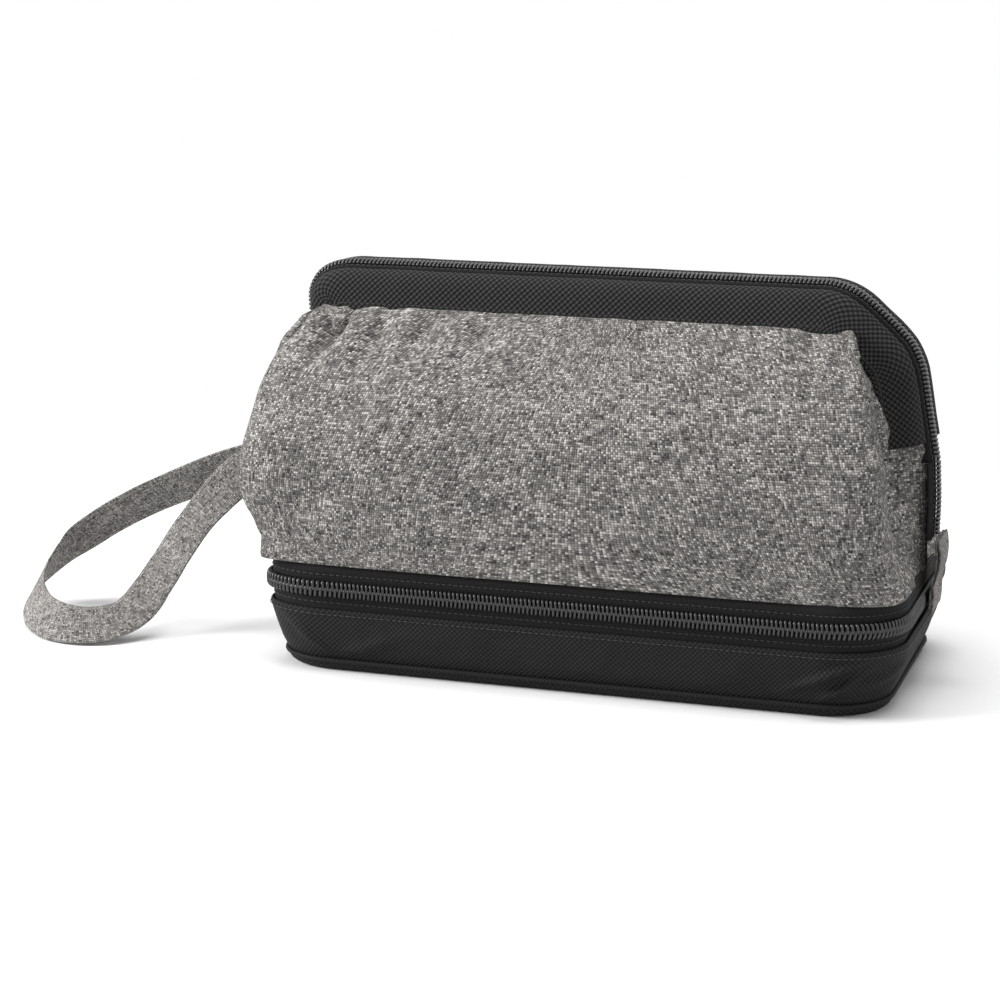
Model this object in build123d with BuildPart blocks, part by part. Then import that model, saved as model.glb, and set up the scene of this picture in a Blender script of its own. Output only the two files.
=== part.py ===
import os

from build123d import *

# A wire-frame toiletry pouch. X runs along its length, the front faces -Y, and Z is up.
# The origin is the middle of the bottom face. All sizes are in millimetres.

# Base tray
length = 250.0
depth = 130.0
corner_radius = 28.0
base_taper = 4.5
fabric = 1.2
lining_fabric = 0.5
board = 1.5
seam_gap = 0.1
floor_rim = 3.6
floor_rim_radius = 2.6
piping_height = 1.4
piping_proud = 0.6
base_wall_top = 26.0
base_lining_top = 24.0

# Zips
coil_width = 2.8
coil_height = 2.2
coil_gap = 1.0
tape_thickness = 0.7
base_zip_height = 34.0
base_tape_width = 9.2
coil_proud = 0.4
back_joint_length = 192.0
stop_length = 2.5

# Main compartment
pouch_bottom = 44.0
gusset_fabric = 1.0
tub_top = 72.0
tub_floor_inset = 5.5

# Zip arch: the outer line of the teeth, seen from the front
arch_top = 155.0
arch_shoulder = 95.0
arch_elbow_length = 122.5
arch_elbow_height = 131.0
arch_end = 131.0
arch_end_height = 85.0
shoulder_radius = 22.0
elbow_radius = 30.0
frame_end_height = 88.0
zip_end_height = 58.0
end_clearance = 0.6

# Frame casing, measured outward from the middle of the zip and down from the teeth
wire_radius = 1.5
wire_out = 8.1
wire_down = 7.2
casing_in = 5.6
casing_shoulder = 9.8
casing_hem = 13.6
casing_hem_thickness = 2.2
casing_top = 3.0
casing_shoulder_down = 4.6
casing_inner_down = 10.0
casing_depth = 18.0
tape_flange_depth = 12.0

# Sliders and pulls
slider_length = 11.0
slider_width = 10.0
plate_thickness = 1.2
slider_clearance = 0.3
outer_plate_gap = 0.6
neck_length = 3.0
neck_thickness = 0.5
pin_radius = 0.8
pin_height = 3.9
pin_clearance = 0.1
ear_thickness = 1.0
eye_width = 2.8
pull_length = 18.0
pull_width = 6.0
pull_thickness = 1.0
main_slider_height = 103.0
base_slider_margin = 7.0

# End tabs and wrist strap
tab_width = 22.0
tab_thickness = 2.2
tab_top = 57.4
tab_bottom = 29.0
left_tab_bottom = 54.0
left_tab_top = 82.0
left_tab_thickness = 1.4
strap_width = 17.0
strap_thickness = 1.6
strap_root_height = 69.0

os.makedirs("parts", exist_ok=True)


def save(piece, name):
    piece.part.label = name
    export_step(piece.part, f"parts/{name}.step")


def outline(height, outset):
    """A rounded rectangle that stands outside the zip line by the outset."""
    with BuildSketch(Plane.XY.offset(height)) as sketch:
        RectangleRounded(length + 2 * outset, depth + 2 * outset, corner_radius + outset)
    return sketch.sketch


def ring(bottom, top, outer, inner):
    """An upright band between two outsets of the outline."""
    with BuildPart() as band:
        with BuildSketch(Plane.XY.offset(bottom)):
            RectangleRounded(length + 2 * outer, depth + 2 * outer, corner_radius + outer)
            inner_size = (length + 2 * inner, depth + 2 * inner)
            RectangleRounded(*inner_size, corner_radius + inner, mode=Mode.SUBTRACT)
        extrude(amount=top - bottom)
    return band.part


def base_inset(height):
    """How far the tray's outer face stands inside the zip line at a height."""
    return base_taper * (base_wall_top - height) / base_wall_top


# Base tray: floor with a turned-up rim, piping, wall, board and lining

rim_inset = base_inset(floor_rim)
with BuildPart() as base_floor_panel:
    add(outline(0, -rim_inset))
    extrude(amount=floor_rim)
    fillet(base_floor_panel.faces().sort_by(Axis.Z)[0].edges(), floor_rim_radius)
    add(outline(fabric, -rim_inset - fabric))
    extrude(amount=floor_rim, mode=Mode.SUBTRACT)
save(base_floor_panel, "base_floor_panel")

piping_bottom = floor_rim
piping_top = piping_bottom + piping_height
with BuildPart() as base_bottom_piping:
    add(ring(piping_bottom, piping_top, piping_proud - rim_inset, -rim_inset - fabric))
save(base_bottom_piping, "base_bottom_piping")

with BuildPart() as base_wall:
    add(outline(piping_top, -base_inset(piping_top)))
    add(outline(base_wall_top, 0))
    loft()
    add(outline(piping_top, -base_inset(piping_top) - fabric))
    add(outline(base_wall_top, -fabric))
    loft(mode=Mode.SUBTRACT)
save(base_wall, "base_wall")

board_inset = rim_inset + fabric + seam_gap
board_bottom = fabric + seam_gap
board_top = board_bottom + board
with BuildPart() as base_stiffener:
    add(outline(board_bottom, -board_inset))
    extrude(amount=board)
save(base_stiffener, "base_stiffener")

lining_bottom = board_top + seam_gap
lining_gap = fabric + 3 * seam_gap
with BuildPart() as base_lining:
    add(outline(lining_bottom, -base_inset(lining_bottom) - lining_gap))
    add(outline(base_lining_top, -base_inset(base_lining_top) - lining_gap - tape_thickness))
    loft()
    add(outline(lining_bottom + lining_fabric, -base_inset(lining_bottom) - lining_gap - lining_fabric))
    add(
        outline(
            base_lining_top,
            -base_inset(base_lining_top) - lining_gap - tape_thickness - lining_fabric,
        )
    )
    loft(mode=Mode.SUBTRACT)
save(base_lining, "base_lining")

# Base zip: a tape and a row of teeth on each side of the parting line

tape_outer = coil_proud - coil_height - seam_gap / 2
tape_inner = tape_outer - tape_thickness
lower_teeth_top = base_zip_height - coil_gap / 2
upper_teeth_bottom = base_zip_height + coil_gap / 2
lower_teeth_bottom = lower_teeth_top - coil_width
upper_teeth_top = upper_teeth_bottom + coil_width
upper_tape_top = pouch_bottom - 2 * seam_gap


def back_box(clearance):
    """The straight part of the back, where the zip stops and a fabric joint takes over."""
    with BuildPart() as box:
        with BuildSketch():
            with Locations((0, depth / 2)):
                Rectangle(back_joint_length + 2 * clearance, corner_radius)
        extrude(amount=pouch_bottom)
    return box.part


with BuildPart() as base_zip_tape_lower:
    add(ring(lower_teeth_top - base_tape_width, lower_teeth_top, tape_outer, tape_inner))
    add(back_box(2 * seam_gap), mode=Mode.SUBTRACT)
save(base_zip_tape_lower, "base_zip_tape_lower")

with BuildPart() as base_zip_tape_upper:
    add(ring(upper_teeth_bottom, upper_tape_top, tape_outer, tape_inner))
    add(back_box(2 * seam_gap), mode=Mode.SUBTRACT)
save(base_zip_tape_upper, "base_zip_tape_upper")

with BuildPart() as base_zip_coil_lower:
    add(ring(lower_teeth_bottom, lower_teeth_top, coil_proud, coil_proud - coil_height))
    add(back_box(stop_length), mode=Mode.SUBTRACT)
save(base_zip_coil_lower, "base_zip_coil_lower")

with BuildPart() as base_zip_coil_upper:
    add(ring(upper_teeth_bottom, upper_teeth_top, coil_proud, coil_proud - coil_height))
    add(back_box(stop_length), mode=Mode.SUBTRACT)
save(base_zip_coil_upper, "base_zip_coil_upper")

with BuildPart() as base_zip_stops:
    add(ring(lower_teeth_bottom, lower_teeth_top, coil_proud, coil_proud - coil_height))
    add(back_box(stop_length - seam_gap), mode=Mode.INTERSECT)
    add(back_box(2 * seam_gap), mode=Mode.SUBTRACT)
save(base_zip_stops, "base_zip_stops")

with BuildPart() as base_hinge_strip:
    add(ring(lower_teeth_top - base_tape_width, upper_tape_top, tape_outer, tape_inner))
    add(back_box(0), mode=Mode.INTERSECT)
save(base_hinge_strip, "base_hinge_strip")

# Floor of the main compartment, with its board and the lower tub of the lining

with BuildPart() as pouch_floor_panel:
    add(outline(upper_tape_top - fabric, tape_inner - seam_gap))
    extrude(amount=fabric)
save(pouch_floor_panel, "pouch_floor_panel")

tub_outset = tape_inner - tub_floor_inset
pouch_board_bottom = upper_tape_top + seam_gap
with BuildPart() as pouch_floor_stiffener:
    add(outline(pouch_board_bottom, tub_outset))
    extrude(amount=board)
save(pouch_floor_stiffener, "pouch_floor_stiffener")

# Wall sections of the main compartment. Each level has a height, the front face in the
# middle, the crease at the corner, the fold of the gusset and the gusset's end at the zip.
wall_levels = (
    dict(z=44.0, front=-64.5, crease=(123.2, -24.0), fold=(121.5, -14.0), end=(121.8, -4.0), round=0.3),
    dict(z=60.0, front=-67.0, crease=(119.5, -38.0), fold=(114.0, -22.0), end=(126.2, -3.5), round=0.36),
    dict(z=80.0, front=-65.0, crease=(117.0, -40.0), fold=(104.0, -22.0), end=(126.8, -3.5), round=0.4),
    dict(z=87.0, front=-62.5, crease=(116.3, -38.0), fold=(103.0, -21.0), end=(111.0, -9.5), round=0.42),
    dict(z=100.0, front=-55.0, crease=(114.0, -33.0), fold=(101.0, -20.0), end=(108.8, -10.0), round=0.45),
    dict(z=119.0, front=-38.0, crease=(109.0, -24.0), fold=(98.0, -17.0), end=(104.5, -11.0), round=0.5),
    dict(z=127.5, front=-27.6, crease=(103.5, -19.5), fold=(95.5, -15.0), end=(97.8, -11.8), round=0.55),
    dict(z=136.0, front=-15.4, crease=(98.0, -15.2), round=0.6),
)
gusset_levels = wall_levels[:-1]
corner_angles = (0, 12, 25, 40, 60, 90)


def crease_to_crease(level):
    """Points of the front face at one level, from the left crease to the right one."""
    x_crease, y_crease = level["crease"]
    bulge = level["front"] - y_crease
    half = [
        (
            x_crease * Vector(1, 0).rotate(Axis.Z, angle).X ** level["round"] if angle < 90 else 0,
            y_crease + bulge * (Vector(1, 0).rotate(Axis.Z, angle).Y ** level["round"] if angle else 0),
        )
        for angle in corner_angles
    ]
    return [(-x, y) for x, y in half[:-1]] + half[::-1]


def strip(points, thickness):
    """A closed band of one thickness on the left of a line of points."""
    corners = [Vector(*point) for point in points]
    runs = [(b - a).normalized() for a, b in zip(corners, corners[1:])]
    normals = [Vector(-run.Y, run.X) for run in runs]
    normals = [normals[0], *normals, normals[-1]]
    inside = []
    for corner, before, after in zip(corners, normals, normals[1:]):
        middle = (before + after).normalized()
        inside.append(corner + middle * (thickness / middle.dot(after)))
    return corners + inside[::-1]


def wall(lines, thickness):
    """A thin wall lofted through one line of points for each level."""
    with BuildPart() as panel:
        for height, line in lines:
            with BuildSketch(Plane.XY.offset(height)):
                with BuildLine():
                    Polyline(*strip(line, thickness), close=True)
                make_face()
        loft(ruled=True)
    return panel.part


def turned(line, side_x, side_y):
    """A line of points mirrored to another corner, kept in the same turning sense."""
    moved = [(side_x * x, side_y * y) for x, y in line]
    return moved if side_x * side_y > 0 else moved[::-1]


front_lines = [(level["z"], crease_to_crease(level)) for level in wall_levels]
back_lines = [(z, turned(line, 1, -1)) for z, line in front_lines]
with BuildPart() as front_panel:
    add(wall(front_lines, fabric))
save(front_panel, "front_panel")

with BuildPart() as back_panel:
    add(wall(back_lines, fabric))
save(back_panel, "back_panel")


def gusset_line(level):
    """The folded end wall at one level, from the panel's inner face to the zip."""
    x_crease, y_crease = level["crease"]
    start = (x_crease - fabric, y_crease + 3 * seam_gap)
    return [start, level["fold"], level["end"]]


gusset_corners = {
    "right_gusset_front": (1, 1),
    "left_gusset_front": (-1, 1),
    "right_gusset_back": (1, -1),
    "left_gusset_back": (-1, -1),
}
for name, (side_x, side_y) in gusset_corners.items():
    with BuildPart() as gusset:
        lines = [(lv["z"], turned(gusset_line(lv), side_x, side_y)) for lv in gusset_levels]
        add(wall(lines, -gusset_fabric))
    save(gusset, name)

tub_bottom = pouch_board_bottom + board + seam_gap
tub_narrowing = 12.0
tub_length_top = length + 2 * (tub_outset - tub_narrowing)
tub_depth_top = depth + 2 * tub_outset
with BuildPart() as pouch_lining:
    add(outline(tub_bottom, tub_outset))
    with BuildSketch(Plane.XY.offset(tub_top)):
        RectangleRounded(tub_length_top, tub_depth_top, corner_radius + tub_outset)
    loft()
    add(outline(tub_bottom + lining_fabric, tub_outset - lining_fabric))
    with BuildSketch(Plane.XY.offset(tub_top)):
        inner_top = (tub_length_top - 2 * lining_fabric, tub_depth_top - 2 * lining_fabric)
        RectangleRounded(*inner_top, corner_radius + tub_outset - lining_fabric)
    loft(mode=Mode.SUBTRACT)
save(pouch_lining, "pouch_lining")

# Zip arch and the two frames that open away from it

with BuildLine(Plane.XZ) as full_arch:
    FilletPolyline(
        (-arch_end, arch_end_height),
        (-arch_elbow_length, arch_elbow_height),
        (-arch_shoulder, arch_top),
        (arch_shoulder, arch_top),
        (arch_elbow_length, arch_elbow_height),
        (arch_end, arch_end_height),
        radius=(elbow_radius, shoulder_radius, shoulder_radius, elbow_radius),
    )
arch = full_arch.wires()[0]
leg = Vector(arch_end - arch_elbow_length, 0, arch_elbow_height - arch_end_height).normalized()
end_cut = (frame_end_height - arch_end_height) / leg.Z


def arch_plane():
    """The section plane at the arch's left end: X is across the bag and Y is outward."""
    return Plane(arch @ 0, x_dir=(0, 1, 0), z_dir=arch % 0)


def swept(profile):
    """A section swept along the arch and cut level at the frame's end height."""
    with BuildPart() as rail:
        with BuildSketch(arch_plane()):
            add(profile)
        sweep(path=arch)
        with BuildSketch(Plane.XY.offset(frame_end_height)):
            Rectangle(2 * length, depth)
        extrude(amount=-frame_end_height, mode=Mode.SUBTRACT)
    return rail.part


def zip_tape_section(side):
    with BuildSketch() as section:
        down = coil_height + seam_gap / 2
        tape_edge = casing_in - 2 * seam_gap
        with BuildLine():
            Polyline(
                (side * coil_gap / 2, -down),
                (side * tape_edge, -down),
                (side * tape_edge, -tape_flange_depth),
                (side * (tape_edge - tape_thickness), -tape_flange_depth),
                (side * (tape_edge - tape_thickness), -down - tape_thickness),
                (side * coil_gap / 2, -down - tape_thickness),
                close=True,
            )
        make_face()
    return section.sketch


def coil_section(side):
    with BuildSketch() as section:
        with Locations((side * (coil_gap + coil_width) / 2, -coil_height / 2)):
            Rectangle(coil_width, coil_height)
    return section.sketch


def wire_section(side):
    with BuildSketch() as section:
        with Locations((side * wire_out, -wire_down)):
            Circle(wire_radius)
    return section.sketch


def casing_section(side):
    with BuildSketch() as section:
        with BuildLine():
            Polyline(
                (side * casing_in, -casing_top),
                (side * casing_shoulder, -casing_shoulder_down),
                (side * casing_hem, -casing_depth),
                (side * (casing_hem - casing_hem_thickness), -casing_depth),
                (side * casing_in, -casing_inner_down),
                close=True,
            )
        make_face()
        with Locations((side * wire_out, -wire_down)):
            Circle(wire_radius + seam_gap, mode=Mode.SUBTRACT)
    return section.sketch


for frame, side in (("front", -1), ("back", 1)):
    sections = {
        "frame_wire": wire_section(side),
        "frame_webbing": casing_section(side),
        "zip_tape": zip_tape_section(side),
        "zip_coil": coil_section(side),
    }
    for kind, section in sections.items():
        with BuildPart() as rail:
            add(swept(section))
        save(rail, f"{frame}_{kind}")

# Fixed ends of the main zip, below the frames

end_top = frame_end_height - end_clearance
for end, side_x in (("right", 1), ("left", -1)):
    with BuildPart() as end_coil:
        with BuildSketch(Plane.XY.offset(zip_end_height)):
            with Locations((side_x * (arch_end - coil_height / 2), 0)):
                with GridLocations(0, coil_width + coil_gap, 1, 2):
                    Rectangle(coil_height, coil_width)
        extrude(amount=end_top - zip_end_height)
    save(end_coil, f"{end}_zip_end_coil")
    with BuildPart() as end_tape:
        tape_reach = casing_in - coil_gap / 2
        tape_place = arch_end - coil_height - seam_gap / 2 - tape_thickness / 2
        with BuildSketch(Plane.XY.offset(zip_end_height)):
            with Locations((side_x * tape_place, 0)):
                with GridLocations(0, tape_reach + coil_gap, 1, 2):
                    Rectangle(tape_thickness, tape_reach)
        extrude(amount=end_top - zip_end_height)
    save(end_tape, f"{end}_zip_end_tape")

# Folded fabric tabs over the zip's ends, with the wrist strap sewn to the left one

coil_outset = length / 2 + coil_proud
with BuildPart() as right_zip_tab:
    with BuildSketch(Plane.XZ):
        with BuildLine():
            Polyline(
                (arch_end + tab_thickness / 2, tab_top),
                (arch_end + tab_thickness / 4, tab_top - 8),
                (coil_outset + 1.3 * tab_thickness, upper_teeth_top + 4),
                (coil_outset + 1.3 * tab_thickness, tab_bottom),
                (coil_outset + 0.3 * tab_thickness, tab_bottom),
                (coil_outset + 0.3 * tab_thickness, upper_teeth_top + 4),
                (arch_end - 1.3 * tab_thickness, tab_top - 8),
                (arch_end - 1.3 * tab_thickness, tab_top),
                close=True,
            )
        make_face()
    extrude(amount=tab_width / 2, both=True)
save(right_zip_tab, "right_zip_tab")

left_tab_face = arch_end + slider_clearance
with BuildPart() as left_zip_tab:
    with BuildSketch(Plane.XY.offset(left_tab_bottom)):
        with Locations((-left_tab_face - left_tab_thickness / 2, 0)):
            Rectangle(left_tab_thickness, tab_width)
    extrude(amount=left_tab_top - left_tab_bottom)
save(left_zip_tab, "left_zip_tab")

with BuildPart() as main_zip_stop:
    with BuildSketch(Plane.XY.offset(left_tab_top + seam_gap)):
        with Locations((-arch_end - seam_gap / 2 - tape_thickness / 2, 0)):
            Rectangle(tape_thickness, 2 * coil_width + coil_gap)
    extrude(amount=stop_length)
save(main_zip_stop, "main_zip_stop")

# Each station of the strap has its place and its lean: how far the band's width turns
# from upright as it runs round the loop.
strap_face = left_tab_face + left_tab_thickness + slider_clearance
strap_layer = strap_thickness / 2 + slider_clearance
strap_stations = (
    (-strap_face, strap_layer, strap_root_height, 0),
    (-145, strap_layer, strap_root_height, 0),
    (-156, 2.2, 69, 0),
    (-170, 4, 66.5, 0),
    (-190, 6, 59.5, 0),
    (-210, 7, 50, 0),
    (-228, 6, 38, 0),
    (-242, 2, 25.5, -5),
    (-248.5, -8, 15.5, -10),
    (-246, -21, 10.5, -14),
    (-236, -34, 8.6, -20),
    (-223, -45, 8.2, -26),
    (-210, -50, 8.0, -32),
    (-199, -46.5, 8.2, -45),
    (-192, -38, 11, -60),
    (-187, -28, 19, -72),
    (-182, -20, 30, -72),
    (-176, -13, 43, -55),
    (-167, -8, 55, -30),
    (-155, -4, 66.5, -8),
    (-145, -strap_layer, strap_root_height, 0),
    (-strap_face, -strap_layer, strap_root_height, 0),
)


def strap_plane(before, station, after):
    """The section plane of the strap at one station."""
    x, y, z, lean = station
    along = (Vector(*after[:3]) - Vector(*before[:3])).normalized()
    upright = (Vector(0, 0, 1) - along * along.Z).normalized()
    width = upright.rotate(Axis((0, 0, 0), along), lean)
    return Plane((x, y, z), x_dir=width, z_dir=along)


with BuildPart() as wrist_strap:
    befores = (strap_stations[0], *strap_stations[:-1])
    afters = (*strap_stations[1:], strap_stations[-1])
    for before, station, after in zip(befores, strap_stations, afters):
        with BuildSketch(strap_plane(before, station, after)):
            Rectangle(strap_width, strap_thickness)
    loft(ruled=True)
save(wrist_strap, "wrist_strap")

# Sliders: two plates on a neck between the teeth, with a pull hinged on a pin


def slider(place):
    """A slider on a plane with X along its travel, Y across the zip and Z outward."""
    with BuildPart() as body:
        with BuildSketch(place.offset(outer_plate_gap)):
            RectangleRounded(slider_length, slider_width, slider_width / 4)
        extrude(amount=plate_thickness)
        inner_face = coil_height + seam_gap / 2 + tape_thickness + slider_clearance
        with BuildSketch(place.offset(-inner_face)):
            RectangleRounded(slider_length, 0.86 * slider_width, slider_width / 4)
        extrude(amount=-plate_thickness)
        with BuildSketch(place.offset(outer_plate_gap)):
            with Locations(((slider_length - neck_length) / 2, 0)):
                Rectangle(neck_length, neck_thickness)
        extrude(amount=-inner_face - outer_plate_gap)
        ear_place = eye_width / 2 + pin_clearance + ear_thickness / 2
        with BuildSketch(place.offset(outer_plate_gap + plate_thickness)):
            with GridLocations(0, 2 * ear_place, 1, 2):
                Rectangle(3 * pin_radius, ear_thickness)
        extrude(amount=pin_height + pin_radius - outer_plate_gap - plate_thickness)
        across = Plane(place.origin + place.z_dir * pin_height, x_dir=place.x_dir, z_dir=place.y_dir)
        with BuildSketch(across):
            Circle(pin_radius)
        extrude(amount=ear_place, both=True)
    return body.part


def pull(place):
    """The pull that lies along the zip, away from the slider's travel."""
    across = Plane(place.origin + place.z_dir * pin_height, x_dir=place.x_dir, z_dir=place.y_dir)
    eye_radius = pin_radius + pin_clearance + pull_thickness
    with BuildPart() as tongue:
        with BuildSketch(place.offset(pin_height - pull_thickness / 2)):
            with BuildLine():
                Polyline(
                    (-pin_radius - pin_clearance, eye_width / 2),
                    (-2.6 * eye_radius, eye_width / 2),
                    (-3.4 * eye_radius, pull_width / 2),
                    (-pull_length, pull_width / 2),
                    (-pull_length, -pull_width / 2),
                    (-3.4 * eye_radius, -pull_width / 2),
                    (-2.6 * eye_radius, -eye_width / 2),
                    (-pin_radius - pin_clearance, -eye_width / 2),
                    close=True,
                )
            make_face()
        extrude(amount=pull_thickness)
        with BuildSketch(across):
            Circle(eye_radius)
        extrude(amount=eye_width / 2, both=True)
        with BuildSketch(across):
            Circle(pin_radius + pin_clearance)
        extrude(amount=eye_width, both=True, mode=Mode.SUBTRACT)
    return tongue.part


leg_share = (main_slider_height - arch_end_height) / leg.Z
main_slider_origin = Vector(-arch_end, 0, arch_end_height) + leg * leg_share
main_slider_plane = Plane(main_slider_origin, x_dir=leg, z_dir=(-leg.Z, 0, leg.X))
base_slider_place = depth / 2 - corner_radius - base_slider_margin
base_slider_origin = (-coil_outset, base_slider_place, base_zip_height)
base_slider_plane = Plane(base_slider_origin, x_dir=(0, -1, 0), z_dir=(-1, 0, 0))
for zip_name, place in (("main", main_slider_plane), ("base", base_slider_plane)):
    with BuildPart() as zip_slider:
        add(slider(place))
    save(zip_slider, f"{zip_name}_zip_slider")
    with BuildPart() as zip_pull:
        add(pull(place))
    save(zip_pull, f"{zip_name}_zip_pull")
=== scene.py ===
import math

import bpy
import numpy as np
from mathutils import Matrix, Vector, noise


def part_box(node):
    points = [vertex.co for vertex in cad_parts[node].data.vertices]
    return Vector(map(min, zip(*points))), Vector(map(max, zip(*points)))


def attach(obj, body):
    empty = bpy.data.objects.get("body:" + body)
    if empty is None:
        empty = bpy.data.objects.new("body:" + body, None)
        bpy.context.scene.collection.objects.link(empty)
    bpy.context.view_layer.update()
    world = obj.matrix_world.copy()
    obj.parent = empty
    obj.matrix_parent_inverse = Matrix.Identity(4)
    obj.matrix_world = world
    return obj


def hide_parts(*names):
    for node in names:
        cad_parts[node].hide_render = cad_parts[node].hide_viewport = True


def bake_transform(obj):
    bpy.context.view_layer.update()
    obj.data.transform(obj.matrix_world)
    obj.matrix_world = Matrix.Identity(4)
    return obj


# A wire-frame toiletry pouch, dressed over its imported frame. Sizes are in millimetres and
# become metres only where a mesh is made. X runs along the bag, -Y is its front, Z is up.

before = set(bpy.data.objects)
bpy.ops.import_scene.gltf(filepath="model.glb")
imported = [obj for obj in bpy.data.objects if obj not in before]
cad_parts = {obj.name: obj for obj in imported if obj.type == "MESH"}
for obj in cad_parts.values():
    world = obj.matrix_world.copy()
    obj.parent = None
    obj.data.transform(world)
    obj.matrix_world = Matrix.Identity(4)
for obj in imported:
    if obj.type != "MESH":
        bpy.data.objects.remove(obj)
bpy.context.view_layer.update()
MM = 0.001


def node_size(node):
    """The size of a frame node's box, in millimetres."""
    low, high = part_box(node)
    return [(b - a) / MM for a, b in zip(low, high)]


LENGTH, DEPTH = node_size("base_wall")[:2]
CORNER = 28.0  # radius of the bag's upright corners
PERIMETER = 2 * (LENGTH + DEPTH) - (8 - 2 * math.pi) * CORNER
TOOTH_PITCH = 1.7
HALF_PITCH = TOOTH_PITCH / 2  # how far one row of teeth stands ahead of the other
TOOTH_SLANT = 0.12
ZIP_Z = 34.0  # height of the base zip's middle
ZIP_GAP = 198.0  # length of the back that the base zip leaves out
FRAME_END = 88.0  # height where the frames end and the fixed zip ends begin
ZIP_END = 58.0
STITCH = 2.4  # pitch of the seams


# Materials


class Paint:
    """A material's node tree, built by short calls."""

    def __init__(self, name, color, roughness, specular=0.5):
        self.material = bpy.data.materials.new(name)
        self.material.use_nodes = True
        self.nodes = self.material.node_tree.nodes
        self.links = self.material.node_tree.links
        self.shader = self.nodes["Principled BSDF"]
        self.shader.inputs["Base Color"].default_value = (*color, 1)
        self.shader.inputs["Roughness"].default_value = roughness
        self.shader.inputs["Specular IOR Level"].default_value = specular

    def link(self, value, socket):
        if isinstance(value, (int, float)):
            socket.default_value = value
        else:
            self.links.new(value, socket)

    def math(self, operation, a, b=0.0, c=0.0):
        node = self.nodes.new("ShaderNodeMath")
        node.operation = operation
        for value, socket in zip((a, b, c), node.inputs):
            self.link(value, socket)
        return node.outputs[0]

    def flat(self):
        """The cloth's own flat coordinates in millimetres: along and across its yarns."""
        uv = self.nodes.new("ShaderNodeUVMap")
        uv.uv_map = "UVMap"
        parts = self.nodes.new("ShaderNodeSeparateXYZ")
        self.links.new(uv.outputs[0], parts.inputs[0])
        return [self.math("MULTIPLY", parts.outputs[i], 1000.0) for i in (0, 1)]

    def noise(self, x, y, seed=0.0):
        """Noise over two coordinates that are already scaled."""
        place = self.nodes.new("ShaderNodeCombineXYZ")
        for value, socket in zip((x, y, seed), place.inputs):
            self.link(value, socket)
        node = self.nodes.new("ShaderNodeTexNoise")
        node.inputs["Scale"].default_value = 1.0
        node.inputs["Detail"].default_value = 2.0
        self.links.new(place.outputs[0], node.inputs["Vector"])
        return node.outputs["Fac"]

    def wave(self, value, period):
        """A sine of a coordinate, from -1 to 1."""
        return self.math("SINE", self.math("MULTIPLY", value, 2 * math.pi / period))

    def ramp(self, factor, stops):
        node = self.nodes.new("ShaderNodeValToRGB")
        points = node.color_ramp.elements
        while len(points) < len(stops):
            points.new(0.5)
        for point, (place, color) in zip(points, stops):
            point.position = place
            point.color = (*color, 1)
        self.link(factor, node.inputs[0])
        return node.outputs[0]

    def mix(self, factor, a, b, mode="MIX"):
        node = self.nodes.new("ShaderNodeMix")
        node.data_type = "RGBA"
        node.blend_type = mode
        self.link(factor, node.inputs["Factor"])
        self.links.new(a, node.inputs["A"])
        self.links.new(b, node.inputs["B"])
        return node.outputs["Result"]

    def color(self, output):
        self.links.new(output, self.shader.inputs["Base Color"])

    def bump(self, height, distance):
        """Relief from a height, with the depth of one unit in millimetres."""
        node = self.nodes.new("ShaderNodeBump")
        node.inputs["Distance"].default_value = distance * MM
        self.link(height, node.inputs["Height"])
        self.links.new(node.outputs[0], self.shader.inputs["Normal"])


def grey(level, warmth=0.0):
    """A grey of a level, a little towards red where it is warm."""
    return (level * (1 + warmth), level, level * (1 - warmth))


def melange(name, dark, middle, light, period, relief):
    """Heathered plain weave: each yarn has its own light and dark fibres along its length, with painted shade
    where each yarn curves away at its edges.
    """
    yarn_step, fibre_scale = 5.3, 0.3
    paint = Paint(name, middle, 0.85, 0.2)
    u, v = paint.flat()
    weave = paint.math("MULTIPLY", paint.wave(u, period), paint.wave(v, period))
    count_u = paint.math("FLOOR", paint.math("MULTIPLY", u, 2 / period))
    count_v = paint.math("FLOOR", paint.math("MULTIPLY", v, 2 / period))
    yarn_u = paint.math("MULTIPLY", count_u, yarn_step)
    yarn_v = paint.math("MULTIPLY", count_v, yarn_step)
    weft = paint.noise(paint.math("MULTIPLY", u, fibre_scale), yarn_v)
    warp = paint.noise(yarn_u, paint.math("MULTIPLY", v, fibre_scale), 9.0)
    over = paint.math("GREATER_THAN", weave, 0.0)
    under = paint.math("SUBTRACT", 1.0, over)
    fibre = paint.math("ADD", paint.math("MULTIPLY", weft, over), paint.math("MULTIPLY", warp, under))
    cloudy = paint.noise(paint.math("MULTIPLY", u, 0.06), paint.math("MULTIPLY", v, 0.1), 3.0)
    mixed = paint.math("MULTIPLY_ADD", cloudy, 0.12, paint.math("MULTIPLY", fibre, 0.88))
    tones = paint.ramp(mixed, ((0.34, dark), (0.5, middle), (0.66, light)))
    height = paint.math("ABSOLUTE", weave)
    # Painted shade: each yarn's colour darkens towards its edges, where it curves away from the light.
    painted_yarn_shade = paint.ramp(height, ((0.0, grey(0.3)), (0.55, grey(1.0))))
    paint.color(paint.mix(0.8, tones, painted_yarn_shade, "MULTIPLY"))
    paint.bump(height, relief)
    return paint.material


def oxford(name, level, period, relief, roughness=0.68):
    """Black cloth whose floats make fine dots in diagonal rows: a painted highlight on each raised float and
    painted shade in the hollows between.
    """
    paint = Paint(name, grey(level), roughness, 0.18)
    u, v = paint.flat()
    weave = paint.math("MULTIPLY", paint.wave(u, period), paint.wave(v, period))
    painted_crest_light = paint.math("MULTIPLY_ADD", weave, 0.5, 0.5)
    # Painted light: the colour brightens on the raised floats and darkens in the hollows between them.
    paint.color(paint.ramp(painted_crest_light, ((0.3, grey(level * 0.35)), (0.9, grey(level * 2.6)))))
    paint.bump(weave, relief)
    return paint.material


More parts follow.
